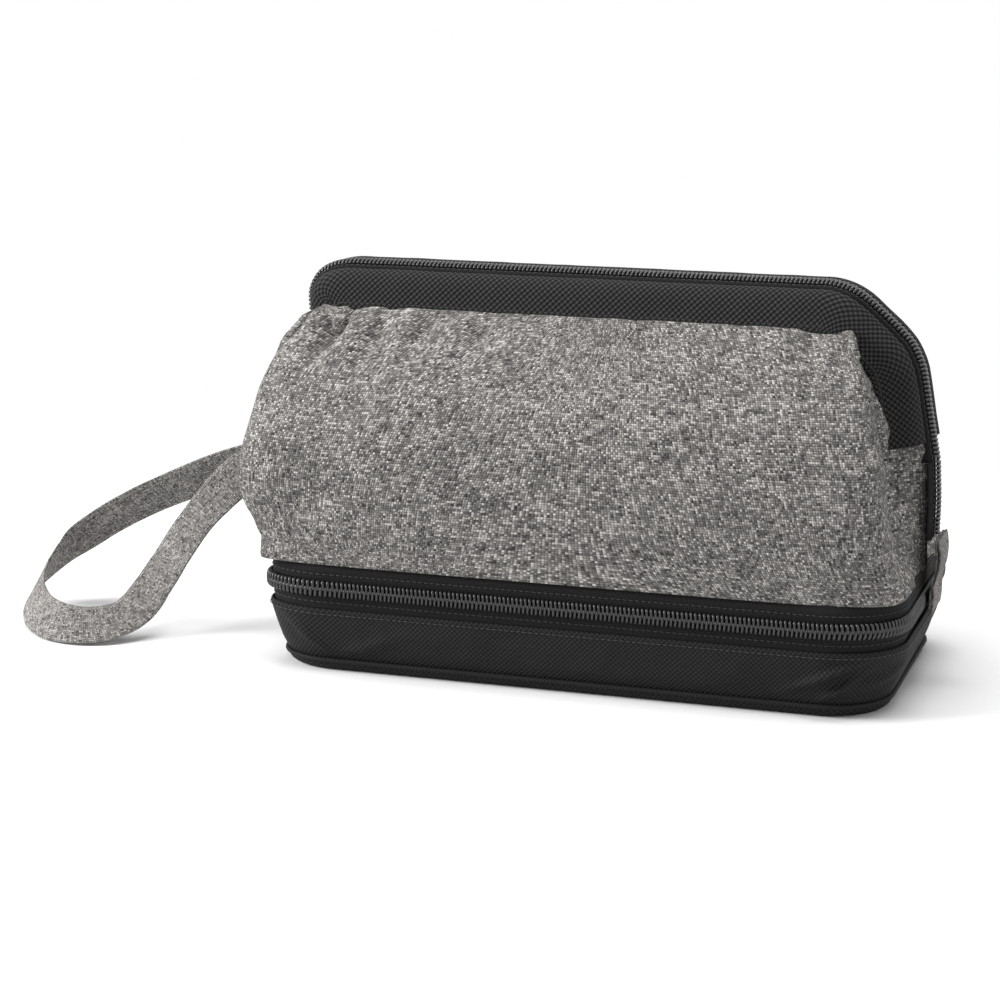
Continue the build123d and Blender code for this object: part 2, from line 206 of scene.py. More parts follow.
def herringbone(name, level, row, slope, relief):
    """Ribbed tape: slanting yarns that turn over at each row across its width, with a painted highlight on
    the raised yarns and painted shade between them.
    """
    paint = Paint(name, grey(level), 0.8, 0.2)
    u, v = paint.flat()
    zigzag = paint.math("PINGPONG", v, row)
    yarn = paint.wave(paint.math("MULTIPLY_ADD", zigzag, slope, u), row * 0.62)
    painted_crest_light = paint.math("MULTIPLY_ADD", yarn, 0.5, 0.5)
    # Painted light: the colour brightens on the raised yarns and darkens in the grooves between them.
    paint.color(paint.ramp(painted_crest_light, ((0.2, grey(level * 0.3)), (0.9, grey(level * 2.6)))))
    paint.bump(yarn, relief)
    return paint.material


def plain(name, color, roughness, specular=0.5, metallic=0.0, relief=0.0):
    """One even colour, rough to the touch where it has relief."""
    paint = Paint(name, color, roughness, specular)
    paint.shader.inputs["Metallic"].default_value = metallic
    if relief:
        texture = paint.nodes.new("ShaderNodeTexNoise")
        texture.inputs["Scale"].default_value = 900.0
        paint.bump(texture.outputs["Fac"], relief)
    return paint.material


MELANGE = melange(
    "grey_melange", dark=grey(0.04, 0.05), middle=grey(0.2, 0.05), light=grey(0.62, 0.04),
    period=1.9, relief=0.22,
)
STRAP_CLOTH = melange(
    "strap_cloth", dark=grey(0.06, 0.05), middle=grey(0.24, 0.05), light=grey(0.5, 0.04),
    period=1.6, relief=0.12,
)
OXFORD = oxford("black_oxford", level=0.0075, period=2.0, relief=0.18)
PIPING = oxford("piping_cloth", level=0.008, period=1.3, relief=0.06)
LINING = oxford("lining_cloth", level=0.03, period=0.9, relief=0.04, roughness=0.75)
WEBBING = oxford("black_webbing", level=0.02, period=2.4, relief=0.5, roughness=0.75)
TAPE = herringbone("zip_tape_cloth", level=0.007, row=1.3, slope=0.8, relief=0.1)
COIL = plain("zip_coil_nylon", grey(0.012), roughness=0.3, specular=0.6)
THREAD = plain("black_thread", grey(0.03), roughness=0.6, specular=0.4)
GREY_THREAD = plain("grey_thread", grey(0.3, 0.04), roughness=0.7, specular=0.3)
ENAMEL = plain("black_enamel", grey(0.02), roughness=0.28, specular=0.6)
STEEL = plain("drawn_steel", grey(0.45), roughness=0.3, metallic=1.0)
BOARD = plain("stiffening_board", grey(0.6), roughness=0.6, specular=0.4, relief=0.05)


# Mesh helpers


def ease(value, start, end):
    """A smooth step from 0 at the start to 1 at the end."""
    t = np.clip((value - start) / (end - start), 0, 1)
    return t * t * (3 - 2 * t)


RIGHT_FLARE = 3.2
LEFT_FLARE = 6.5


def settled(points):
    """Points with the soft flare of the right end and of the left front corner."""
    points = np.array(points, float)
    x, y, z = points.T
    right_share = np.interp(z, (3, 34, 46, 58, 80), (0, 1, 1, 0.2, 0))
    left_share = np.interp(z, (2, 22, 32, 44, 52), (0.2, 0.75, 1, 1, 0))
    right = RIGHT_FLARE * ease(x, 98, 125) * right_share
    left = LEFT_FLARE * ease(-x, 88, 120) * ease(-y, 34, 58) * left_share
    points[:, 0] = x + right - left
    return points


def past_seam(values, starts, around):
    """Values at face corners, carried on past the seam of a closed direction."""
    counts = np.diff([*starts, len(values)])
    highest = np.repeat(np.maximum.reduceat(values, starts), counts)
    return np.where(highest - values > around / 2, values + around, values)


def piece(name, points, faces, flat, material, body, replaced=(), around=(0, 0)):
    """A mesh object from points in millimetres, riding on a body of the frame where the body is given by
    name, and fixed in place where it is given as a tuple.

    Its flat coordinates go round by the given lengths where the piece is closed."""
    mesh = bpy.data.meshes.new(name)
    mesh.from_pydata((settled(points) * MM).tolist(), [], faces)
    layer = mesh.uv_layers.new(name="UVMap")
    corners = np.empty(len(mesh.loops), np.int32)
    mesh.loops.foreach_get("vertex_index", corners)
    starts = np.empty(len(mesh.polygons), np.int32)
    mesh.polygons.foreach_get("loop_start", starts)
    spread = np.asarray(flat, float)[corners]
    for axis in (0, 1):
        if around[axis]:
            spread[:, axis] = past_seam(spread[:, axis], starts, around[axis])
    layer.data.foreach_set("uv", (spread * MM).ravel())
    mesh.polygons.foreach_set("use_smooth", np.ones(len(mesh.polygons), bool))
    mesh.materials.append(material)
    thing = bpy.data.objects.new(name, mesh)
    bpy.context.scene.collection.objects.link(thing)
    if isinstance(body, str):
        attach(thing, body)
    else:
        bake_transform(thing)
    if replaced:
        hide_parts(*replaced)


def grid_faces(rows, columns, closed_rows=False, closed_columns=False, flip=False):
    """Quads over a grid of points, row by row."""
    last_row = rows if closed_rows else rows - 1
    last_column = columns if closed_columns else columns - 1
    faces = []
    for i in range(last_row):
        for j in range(last_column):
            a = i * columns + j
            b = i * columns + (j + 1) % columns
            c = (i + 1) % rows * columns + (j + 1) % columns
            d = (i + 1) % rows * columns + j
            faces.append((a, d, c, b) if flip else (a, b, c, d))
    return faces


def grid_normals(grid, closed=False):
    """Unit normals of a grid of points."""
    along = np.roll(grid, -1, 1) - np.roll(grid, 1, 1)
    if not closed:
        along[:, 0] = grid[:, 1] - grid[:, 0]
        along[:, -1] = grid[:, -1] - grid[:, -2]
    across = np.gradient(grid, axis=0)
    normal = np.cross(along, across)
    return normal / np.maximum(np.linalg.norm(normal, axis=2, keepdims=True), 1e-9)


def run_lengths(grid, axis):
    """Distances along one axis of a grid, from its start, averaged over the other axis."""
    steps = np.linalg.norm(np.diff(grid, axis=axis), axis=2).mean(axis=1 - axis)
    return np.concatenate([[0.0], np.cumsum(steps)])


def cloth(name, grid, thickness, material, body, replaced=(), closed=False, inward=True):
    """A sheet of cloth with thickness: a grid's outer face, its inner face and its edges."""
    grid = np.asarray(grid, float)
    rows, columns = grid.shape[:2]
    normal = grid_normals(grid, closed)
    inner = grid - normal * thickness if inward else grid + normal * thickness
    points = np.concatenate([grid.reshape(-1, 3), inner.reshape(-1, 3)])
    u = run_lengths(grid, 1)
    v = run_lengths(grid, 0)
    flat = np.stack(np.meshgrid(u, v), axis=2).reshape(-1, 2)
    faces = grid_faces(rows, columns, False, closed, not inward)
    half = rows * columns
    faces += [tuple(half + k for k in face[::-1]) for face in faces]
    last = columns if closed else columns - 1
    for row in (0, rows - 1):
        for j in range(last):
            a, b = row * columns + j, row * columns + (j + 1) % columns
            if (row == 0) == inward:
                a, b = b, a
            faces.append((a, b, b + half, a + half))
    if not closed:
        for column in (0, columns - 1):
            for i in range(rows - 1):
                a, b = i * columns + column, (i + 1) * columns + column
                if (column == 0) != inward:
                    a, b = b, a
                faces.append((a, b, b + half, a + half))
    around = (u[-1] + u[1], 0) if closed else (0, 0)
    both = np.concatenate([flat, flat])
    piece(name, points, faces, both, material, body, replaced, around)


def tube(name, grid, material, body, replaced=(), closed_run=False):
    """A closed profile carried along a run, with caps where the run has ends."""
    grid = np.asarray(grid, float)
    rows, columns = grid.shape[:2]
    faces = grid_faces(rows, columns, closed_run, True)
    if not closed_run:
        faces.append(tuple(range(columns))[::-1])
        faces.append(tuple(range(rows * columns - columns, rows * columns)))
    u = run_lengths(grid, 0)
    v = run_lengths(grid, 1)
    flat = np.stack(np.meshgrid(u, v, indexing="ij"), axis=2).reshape(-1, 2)
    closing = np.linalg.norm(grid[:, 0] - grid[:, -1], axis=1).mean()
    around = (u[-1] + u[1] if closed_run else 0, v[-1] + closing)
    piece(name, grid.reshape(-1, 3), faces, flat, material, body, replaced, around)


def copies(name, shape, faces, places, material, body, replaced=()):
    """One small shape repeated at many places, each an origin and three axes."""
    shape = np.asarray(shape, float)
    points, every = [], []
    for i, (origin, axes) in enumerate(places):
        points.append(origin + shape @ np.asarray(axes))
        mirrored = np.linalg.det(np.asarray(axes)) < 0
        for face in faces:
            turned = face[::-1] if mirrored else face
            every.append(tuple(k + i * len(shape) for k in turned))
    flat = np.tile(shape[:, :2], (len(points), 1))
    piece(name, np.concatenate(points), every, flat, material, body, replaced)


def capsule(length, radius, rings=4, sides=6):
    """A rounded rod along its first axis."""
    points = []
    for i in range(rings):
        t = i / (rings - 1)
        bulge = math.sin(math.pi * (0.12 + 0.76 * t)) ** 0.5
        for k in range(sides):
            angle = 2 * math.pi * k / sides
            y, z = bulge * radius * math.cos(angle), bulge * radius * math.sin(angle)
            points.append(((t - 0.5) * length, y, z))
    faces = grid_faces(rings, sides, False, True)
    faces += [tuple(range(sides))[::-1], tuple(range((rings - 1) * sides, rings * sides))]
    return points, faces


def wobble(points, amount, size, seed):
    """Soft noise for each point: a number from about -amount to amount."""
    shift = Vector((seed * 13.7, seed * 5.1, seed * 9.3))
    flat = np.asarray(points).reshape(-1, 3)
    values = [noise.noise(Vector(p) / size + shift) for p in flat]
    return amount * np.array(values).reshape(np.asarray(points).shape[:-1] + (1,))


def fold(along, up, centre, angle, width, reach, depth):
    """A crease: a soft ridge through a centre at an angle, fading along its length."""
    turn = math.radians(angle)
    a = along - centre[0]
    b = up - centre[1]
    across = -a * math.sin(turn) + b * math.cos(turn)
    ahead = a * math.cos(turn) + b * math.sin(turn)
    return depth * np.exp(-((across / width) ** 2) - (ahead / reach) ** 2)


# Paths: round the bag, and over the zip arch


def bent(points, count):
    """Points along a smooth path through a few given ones."""
    points = np.asarray(points, float)
    ends = np.concatenate([[2 * points[0] - points[1]], points, [2 * points[-1] - points[-2]]])
    path = []
    for at in np.linspace(0, len(points) - 1, count):
        k = min(int(at), len(points) - 2)
        t = at - k
        a, b, c, d = ends[k : k + 4]
        square, cube = 2 * a - 5 * b + 4 * c - d, 3 * b - a - 3 * c + d
        path.append(0.5 * (2 * b + (c - a) * t + square * t**2 + cube * t**3))
    return np.array(path)


def outline_run(count, gap=0.0):
    """Points and outward normals round the bag from the middle of the back.

    The gap is left out at the middle of the back, and without one the run closes on itself.
    Returns places on the zip line, normals and the distance run."""
    a, b = LENGTH / 2 - CORNER, DEPTH / 2 - CORNER
    quarter = CORNER * math.pi / 2
    parts = (a, quarter, 2 * b, quarter, 2 * a, quarter, 2 * b, quarter, a)
    runs = np.linspace(gap / 2, PERIMETER - gap / 2, count, endpoint=gap > 0)
    spots, normals = [], []
    corners = ((-a, b), (-a, -b), (a, -b), (a, b))
    starts = ((0, b + CORNER), (-a - CORNER, b), (-a, -b - CORNER), (a + CORNER, -b), (a, b + CORNER))
    for run in runs:
        left, k = run, 0
        while k < 8 and left > parts[k]:
            left -= parts[k]
            k += 1
        if k % 2:
            centre = corners[k // 2]
            angle = math.radians(90 + 90 * (k // 2)) + left / CORNER
            normal = (math.cos(angle), math.sin(angle))
            spot = (centre[0] + CORNER * normal[0], centre[1] + CORNER * normal[1])
        else:
            normal = ((0, 1), (-1, 0), (0, -1), (1, 0))[k // 2 % 4]
            start = starts[k // 2]
            along = (-normal[1], normal[0])
            spot = (start[0] + along[0] * left, start[1] + along[1] * left)
        spots.append(spot)
        normals.append(normal)
    return np.array(spots), np.array(normals), runs


RING_COUNT = 520


def ring_grid(profile, count=RING_COUNT, gap=0.0):
    """A profile of (outset, height) pairs carried round the bag: one row per profile point."""
    spots, normals, _ = outline_run(count, gap)
    rows = []
    for outset, height in profile:
        flat = spots + normals * outset
        rows.append(np.column_stack([flat, np.full(len(flat), height)]))
    return np.array(rows)


def middle_rows(ring, shares):
    """Rows that carry a closed floor from its outer ring in to its middle."""
    return [ring * (along, across, 1) for along, across in shares]


def round_profile(outset, height, radius, count=10):
    """A circle as a profile of (outset, height) pairs."""
    angles = np.linspace(0, 2 * math.pi, count, endpoint=False)
    return [(outset + radius * math.cos(a), height - radius * math.sin(a)) for a in angles]


# The outer line of the teeth over the mouth, from the left end to the right
ARCH = (
    (-131.0, 85.0), (-129.2, 95.0), (-127.3, 105.0), (-125.4, 115.5), (-125.2, 124.0), (-127.0, 134.0),
    (-126.6, 143.0), (-121.5, 150.5), (-112.0, 154.4), (-98.0, 155.0), (-60.0, 155.0), (0.0, 155.0),
    (60.0, 155.0), (80.0, 155.0), (88.0, 154.8), (95.6, 152.7), (101.5, 149.2), (108.0, 143.7),
    (114.7, 137.6), (119.2, 132.7), (122.2, 127.3), (124.4, 120.8), (127.0, 106.5), (129.2, 94.7),
    (131.0, 85.0),
)
ARCH_STEP = 1.6
FINE_STEP = 0.5


def arch_run(step):
    """Points, directions and outward normals over the zip arch, in the plane of the zip."""
    fine = bent(ARCH, 1200)
    fine = fine[fine[:, 1] >= FRAME_END]
    runs = np.concatenate([[0], np.cumsum(np.linalg.norm(np.diff(fine, axis=0), axis=1))])
    at = np.linspace(0, runs[-1], int(runs[-1] / step))
    spots = np.column_stack([np.interp(at, runs, fine[:, 0]), np.interp(at, runs, fine[:, 1])])
    ways = np.gradient(spots, axis=0)
    ways /= np.linalg.norm(ways, axis=1, keepdims=True)
    outs = np.column_stack([-ways[:, 1], ways[:, 0]])
    return spots, ways, outs, at


def arch_grid(profile, side, low=FRAME_END):
    """A profile of (out from the zip's middle, outward from its teeth) carried over the arch."""
    spots, _, outs, _ = arch_run(ARCH_STEP)
    rows = []
    for spot, out in zip(spots, outs):
        if spot[1] < low:
            continue
        rows.append([(spot[0] + out[0] * v, side * u, spot[1] + out[1] * v) for u, v in profile])
    return np.array(rows)


# Grey cloth of the main compartment: front or back panel with its two gusset halves.
# Each list holds one value for each level's height: how far the panel's middle stands out,
# then the crease at the corner, the fold of the gusset, the gusset's end at the zip, and
# how round the corner is. The left side puffs out, so it has its own crease and fold.

LEVELS = np.array([43.6, 60, 80, 87, 100, 119, 127.5, 136, 139.5])
FRONT = np.array([64.6, 67.3, 65.4, 63.0, 55.6, 38.4, 28.2, 16.2, 12.6])
CREASE_X = np.array([123.4, 119.8, 117.2, 116.4, 112.5, 106.5, 102.5, 98.5, 96.5])
CREASE_Y = np.array([24.0, 38.0, 40.0, 38.0, 33.0, 24.0, 19.5, 15.6, 12.2])
FOLD_X = np.array([121.8, 114.0, 104.5, 103.5, 101.5, 98.5, 96.0, 91.0, 85.0])
FOLD_Y = np.array([14.0, 22.0, 22.0, 21.0, 20.0, 17.0, 15.0, 12.8, 11.6])
END_X = np.array([123.4, 126.4, 127.2, 127.0, 123.0, 117.0, 105.0, 86.5, 82.0])
END_Y = np.array([0.3, 0.6, 1.5, 3.6, 8.4, 9.6, 11.2, 12.2, 12.0])
LEFT_CREASE_X = np.array([120.5, 132.0, 136.0, 136.0, 135.0, 131.5, 127.5, 120.0, 117.0])
LEFT_CREASE_Y = np.array([48.0, 50.0, 46.0, 44.0, 38.0, 27.0, 20.5, 15.6, 12.2])
LEFT_FOLD_X = np.array([119.0, 122.0, 120.0, 119.0, 117.0, 113.0, 110.0, 107.0, 105.0])
LEFT_FOLD_Y = np.array([26.0, 26.0, 25.0, 24.0, 21.0, 17.5, 15.0, 12.8, 11.6])
ROUND = np.array([0.30, 0.36, 0.40, 0.42, 0.45, 0.50, 0.55, 0.62, 0.66])
RIGHT_SIDE = (CREASE_X, CREASE_Y, FOLD_X, FOLD_Y)
LEFT_SIDE = (LEFT_CREASE_X, LEFT_CREASE_Y, LEFT_FOLD_X, LEFT_FOLD_Y)
GUSSET_POINTS = 26
PANEL_POINTS = 90

# Folds of the panels: place along and up, angle in degrees, width, reach and depth
PANEL_FOLDS = (
    (-110, 126, 60, 3.0, 12, -3.2),
    (-101, 127, 66, 3.0, 11, 1.5),
    (-90, 127, 72, 3.0, 12, -2.4),
    (-72, 128, 80, 3.4, 12, -1.9),
    (-46, 130, 84, 4.0, 11, -1.4),
    (86, 124, 104, 3.6, 12, -1.8),
    (66, 128, 96, 4.0, 12, -1.3),
    (20, 131, 95, 6.0, 10, -1.1),
    (-112, 66, 24, 6.0, 22, -2.4),
    (100, 60, 152, 5.0, 20, -2.2),
)
CLOTH_THICKNESS = 1.1
LINING_TOP = 108.0
LINING_INSET = 1.6
LINING_THICKNESS = 0.3


def between(values, z):
    """A smooth curve through the levels' values."""
    slopes = np.gradient(values, LEVELS)
    k = min(max(int(np.searchsorted(LEVELS, z)) - 1, 0), len(LEVELS) - 2)
    span = LEVELS[k + 1] - LEVELS[k]
    t = (z - LEVELS[k]) / span
    low, high = values[k], values[k + 1]
    bend = (2 * t**3 - 3 * t**2 + 1) * low + (3 * t**2 - 2 * t**3) * high
    return bend + ((t**3 - 2 * t**2 + t) * slopes[k] + (t**3 - t**2) * slopes[k + 1]) * span


def cloth_row(z, crease_x, crease_y, fold_x, fold_y):
    """Half a row of the cloth at one height, from the zip end to the middle of the panel."""
    crease = np.array([between(crease_x, z), between(crease_y, z)])
    inner = np.array([np.interp(z, LEVELS, fold_x), np.interp(z, LEVELS, fold_y)])
    end = np.array([np.interp(z, LEVELS, END_X), np.interp(z, LEVELS, END_Y)])
    front, power = between(FRONT, z), between(ROUND, z)
    t = np.linspace(0, 1, GUSSET_POINTS)[:, None]
    pull = inner + (inner - (crease + end) / 2) * 0.35
    gusset = (1 - t) ** 2 * end + 2 * t * (1 - t) * pull + t**2 * crease
    angles = np.linspace(0, 1, PANEL_POINTS) ** 1.25 * math.pi / 2
    x = crease[0] * np.cos(angles) ** power
    x[-1] = 0
    y = crease[1] + (front - crease[1]) * np.sin(angles) ** power
    return np.concatenate([gusset[:-1], np.column_stack([x, y])])


def smooth_cloth(side, heights):
    """The cloth of one side without its dents, lowered a little at the top corners."""
    rows = []
    for z in heights:
        right = cloth_row(z, *RIGHT_SIDE)
        left = cloth_row(z, *LEFT_SIDE) * (-1, 1)
        flat = np.concatenate([left[:-1], right[::-1]])
        rows.append(np.column_stack([flat, np.full(len(flat), z)]))
    grid = np.array(rows) * (1, side, 1)
    corner = ease(grid[..., 0], 74, 92) + ease(-grid[..., 0], 92, 110)
    grid[..., 2] -= 0.55 * corner * np.clip(grid[..., 2] - 134.5, 0, None)
    return grid


def cloth_relief(grid, seed):
    """How far each point of the cloth stands out: soft dents, puckers at the top and folds."""
    x, z = grid[..., :1], grid[..., 2:]
    free = np.clip((z - 46) / 12, 0, 1) * np.clip((138 - z) / 6, 0, 1)
    dents = wobble(grid, 2.3, 44, seed) + wobble(grid, 1.0, 18, seed + 1)
    dents = dents * (1 - 0.7 * ease(x, 92, 104))
    top = np.exp(-((136 - z) / 13) ** 2)
    strength = 0.7 + 0.9 * (x < -50) + 0.4 * (x > 70)
    pucker = np.sin(x / 4.2 + 2.5 * np.sin(x / 31 + seed)) * strength
    folds = sum(fold(x, z, (along, up), *shape) for along, up, *shape in PANEL_FOLDS)
    return free * (dents + top * pucker + folds)


def compartment_cloth(side, seed):
    """The grey cloth on one side of the zip, and its lining."""
    heights = np.concatenate([np.linspace(LEVELS[0], 130, 74), np.linspace(131, LEVELS[-1], 12)])
    grid = smooth_cloth(side, heights)
    outward = grid_normals(grid) * -side
    grid = grid + outward * cloth_relief(grid, seed)
    end = "front" if side < 0 else "back"
    bend = ("pouch", f"{end}_frame", (0, 0, 60 * MM), (0, 0, 134 * MM))
    nodes = (f"{end}_panel", f"left_gusset_{end}", f"right_gusset_{end}")
    cloth(f"{end}_cloth", grid, CLOTH_THICKNESS, MELANGE, bend, nodes, inward=side < 0)
    below_folds = grid[heights < LINING_TOP]
    inside = below_folds + grid_normals(below_folds) * side * LINING_INSET
    cloth(f"{end}_cloth_lining", inside, LINING_THICKNESS, LINING, bend, inward=side < 0)


for side, seed in ((-1, 3), (1, 8)):
    compartment_cloth(side, seed)


# Webbing casings, zip tapes and teeth on the two frames. Their profiles are pairs of the
# distance out from the zip's middle and the height over the outer line of the teeth.

CASING_HEM = (
    (14.3, -17.2), (14.7, -18.4), (14.3, -19.1), (13.2, -19.0), (12.1, -17.6), (11.1, -14.0),
    (10.4, -11.2), (8.8, -10.3), (7.0, -10.0), (5.9, -8.4),
)
FRONT_CASING = (
    (5.4, -4.8), (5.8, -3.6), (7.0, -3.1), (8.6, -3.5), (10.2, -5.0), (11.4, -7.2), (12.2, -9.6),
    (12.9, -12.2), (13.6, -14.8), *CASING_HEM,
)
BACK_CASING = (
    (5.4, -4.2), (5.8, -2.2), (7.0, -0.9), (8.8, -0.4), (10.6, -1.4), (11.8, -4.4), (12.4, -8.0),
    (12.9, -11.5), (13.6, -14.6), *CASING_HEM,
)
FRAME_TAPE = (
    (0.55, -2.3), (2.8, -2.25), (5.35, -2.35), (5.5, -3.2),
    (5.4, -12), (4.8, -12), (4.7, -3.1), (0.55, -2.95),
)
WIRE = tuple(round_profile(8.1, -7.2, 1.5, 12))
CASING_END = 95.5  # height where the casings end, a little above the frames' ends


def tooth_shape():
    """One turn of the coil: a rounded rod from its hooked head out to the tape."""
    rings, sides = 7, 7
    reach = np.array([-0.75, -0.5, 0.1, 1.1, 2.1, 2.95, 3.3])
    rise = np.array([-1.1, -0.7, -0.5, -0.5, -0.62, -0.95, -1.8])
    wide = np.array([0.34, 0.52, 0.56, 0.56, 0.56, 0.54, 0.44])
    tall = np.array([0.45, 0.6, 0.6, 0.58, 0.56, 0.55, 0.45])
    points = []
    for i in range(rings):
        for k in range(sides):
            angle = 2 * math.pi * k / sides
            points.append((wide[i] * math.cos(angle), reach[i], rise[i] + tall[i] * math.sin(angle)))
    faces = grid_faces(rings, sides, False, True, True)
    faces += [tuple(range(sides)), tuple(range((rings - 1) * sides, rings * sides))[::-1]]
    return points, faces


TOOTH, TOOTH_FACES = tooth_shape()
STITCH_SHAPE, STITCH_FACES = capsule(1.7, 0.22)


def arch_places(side, pitch, out, lift, shift=0.0, slant=0.0):
    """Places over the arch: an origin with axes along the zip, across it and outward."""
    spots, ways, outs, at = arch_run(FINE_STEP)
    places = []
    for run in np.arange(pitch / 2 + shift, at[-1], pitch):
        x, z = (np.interp(run, at, spots[:, i]) for i in (0, 1))
        way = np.array([np.interp(run, at, ways[:, i]) for i in (0, 1)])
        normal = np.array([np.interp(run, at, outs[:, i]) for i in (0, 1)])
        along = np.array([way[0], side * slant, way[1]])
        across = np.array([-slant * way[0], side, -slant * way[1]])
        up = np.array([normal[0], 0, normal[1]])
        places.append((np.array([x, side * out, z]) + up * lift, (along, across, up)))
    return places


for end, side in (("front", -1), ("back", 1)):
    body = f"{end}_frame"
    wire = arch_grid(WIRE if side < 0 else WIRE[::-1], side, CASING_END + 2)
    tube(f"{end}_wire", wire, STEEL, body, (f"{end}_frame_wire",))
    casing = arch_grid(FRONT_CASING if side < 0 else BACK_CASING[::-1], side, CASING_END)
    casing = casing + wobble(casing, 0.35, 9, side + 4) * np.array([0.3, 1, 0.3])
    tube(f"{end}_webbing", casing, WEBBING, body, (f"{end}_frame_webbing",))
    tape = arch_grid(FRAME_TAPE if side < 0 else FRAME_TAPE[::-1], side)
    tube(f"{end}_tape", tape, TAPE, body, (f"{end}_zip_tape",))
    teeth = arch_places(side, TOOTH_PITCH, 0.0, 0.0, HALF_PITCH * (side > 0), TOOTH_SLANT)
    copies(f"{end}_teeth", TOOTH, TOOTH_FACES, teeth, COIL, body, (f"{end}_zip_coil",))
    seam = arch_places(side, STITCH, 4.5, -2.15)
    copies(f"{end}_tape_stitches", STITCH_SHAPE, STITCH_FACES, seam, THREAD, body)
    hem = arch_places(side, STITCH, 13.9, -16.2)
    hem = [place for place in hem if place[0][2] > CASING_END - 8]
    copies(f"{end}_hem_stitches", STITCH_SHAPE, STITCH_FACES, hem, THREAD, body)


# Fixed ends of the main zip, under the frames

TEETH_END_X = 130.5
TAPE_END_X = 128.2
TAPE_THICKNESS = 0.6


def end_lean(z):
    """How far the upright zip end bows out at a height."""
    return 0.6 * np.sin((FRAME_END - z) / (FRAME_END - ZIP_END) * math.pi)


def end_places(side_x, side, pitch, out, lift, shift=0.0):
    """Places down the upright end of the zip, from the frame's end to the tab."""
    axes = (np.array([0, 0, 1.0]), np.array([0, side, TOOTH_SLANT]), np.array([side_x, 0, 0]))
    places = []
    for z in np.arange(FRAME_END - 1.0 - shift, ZIP_END + 0.4, -pitch):
        origin = np.array([side_x * (TEETH_END_X + end_lean(z) + lift), side * out, z])
        places.append((origin, axes))
    return places


def end_tape(end, name, side_x, side):
    """The tape on one side of an upright zip end: reaches across it, and how far it sinks there."""
    section = ((0.5, 0.0), (2.0, 0.0), (4.0, 0.1), (5.8, 0.5), (7.0, 1.4))
    rows = []
    for z in np.linspace(FRAME_END - 0.7, ZIP_END - 1, 24):
        face = TAPE_END_X + end_lean(z)
        rows.append([(side_x * (face - sink), side * reach, z) for reach, sink in section])
    replaced = (f"{end}_zip_end_tape",) if side < 0 else ()
    inward = side_x * side < 0
    cloth(f"{end}_{name}_end_tape", rows, TAPE_THICKNESS, TAPE, "pouch", replaced, inward=inward)


for end, side_x in (("right", 1), ("left", -1)):
    teeth = end_places(side_x, -1, TOOTH_PITCH, 0.0, 0.0)
    teeth += end_places(side_x, 1, TOOTH_PITCH, 0.0, 0.0, HALF_PITCH)
    copies(f"{end}_end_teeth", TOOTH, TOOTH_FACES, teeth, COIL, "pouch", (f"{end}_zip_end_coil",))
    seams = end_places(side_x, -1, STITCH, 4.4, -2.1) + end_places(side_x, 1, STITCH, 4.4, -2.1)
    copies(f"{end}_end_stitches", STITCH_SHAPE, STITCH_FACES, seams, THREAD, "pouch")
    end_tape(end, "front", side_x, -1)
    end_tape(end, "back", side_x, 1)


# Base compartment: bottom cloth, piping, wall and its zip

WALL_COUNT = 700
SOFT_THICKNESS = 0.9
WALL_RIGHT = PERIMETER / 2 + LENGTH / 2 - CORNER  # run to the ends of the front's straight part
WALL_LEFT = PERIMETER / 2 - LENGTH / 2 + CORNER

# Folds of the base wall: run and height, angle in degrees, width, reach and depth
WALL_FOLDS = (
    (WALL_RIGHT + 4, 17, 24, 1.5, 13, 3.0),
    (WALL_RIGHT + 8, 11, 34, 1.5, 12, 2.6),
    (WALL_RIGHT - 26, 13, -30, 2.4, 12, 1.2),
    (WALL_RIGHT + 26, 14, 12, 2.0, 14, 1.6),
    (WALL_LEFT - 6, 14, 140, 2.0, 12, 1.8),
    (WALL_LEFT + 18, 12, 20, 2.4, 12, 1.2),
)


def base_wall():
    """The side wall, which leans in to the piping and rolls over at its top."""
    profile = (
        (-4.3, 4.9), (-3.5, 7.0), (-2.5, 10.0), (-1.7, 13.5), (-1.0, 17.0), (-0.5, 20.5), (-0.15, 23.6),
        (-0.1, 24.8), (-0.3, 25.6), (-0.9, 26.0), (-1.5, 25.4), (-1.6, 24.0),
    )
    fine = np.linspace(0, len(profile) - 1, 44)
    outsets = np.interp(fine, range(len(profile)), [p[0] for p in profile])
    heights = np.interp(fine, range(len(profile)), [p[1] for p in profile])
    _, normals, runs = outline_run(WALL_COUNT)
    grid = ring_grid(list(zip(outsets, heights)), WALL_COUNT)
    along = np.broadcast_to(runs[None, :, None], grid.shape[:2] + (1,))
    up = grid[..., 2:]
    free = np.clip((up - 5.5) / 4, 0, 1) * np.clip((24.5 - up) / 4, 0, 1)
    shape = wobble(grid, 1.3, 30, 5) + wobble(grid, 0.6, 10, 6)
    for run, height, *form in WALL_FOLDS:
        shape = shape + fold(along, up, (run, height), *form)
    shape = np.clip(shape, -0.8, 3.2)
    outward = np.concatenate([normals, np.zeros((len(normals), 1))], axis=1)[None]
    grid = grid + outward * free * shape
    cloth(
        "base_wall_cloth", grid, SOFT_THICKNESS, OXFORD, "base", ("base_wall",), closed=True
    )


def base_bottom():
    """The bottom cloth, from its middle to the rim that it turns up to the piping."""
    profile = (
        (-3.7, 4.4), (-3.9, 3.4), (-4.1, 2.4), (-4.7, 1.3), (-5.7, 0.5),
        (-7.2, 0.12), (-12, 0.06), (-40, 0.06),
    )
    grid = ring_grid(profile, 420)[::-1]
    grid = np.concatenate([middle_rows(grid[0], ((0.2, 0),)), grid])
    cloth(
        "base_bottom_cloth", grid, SOFT_THICKNESS, OXFORD, "base", ("base_floor_panel",),
        closed=True,
    )


def base_piping():
    """The round seam between the bottom cloth and the wall."""
    grid = ring_grid(round_profile(-3.75, 4.35, 0.95)).transpose(1, 0, 2)
    tube("base_piping", grid, PIPING, "base", ("base_bottom_piping",), closed_run=True)


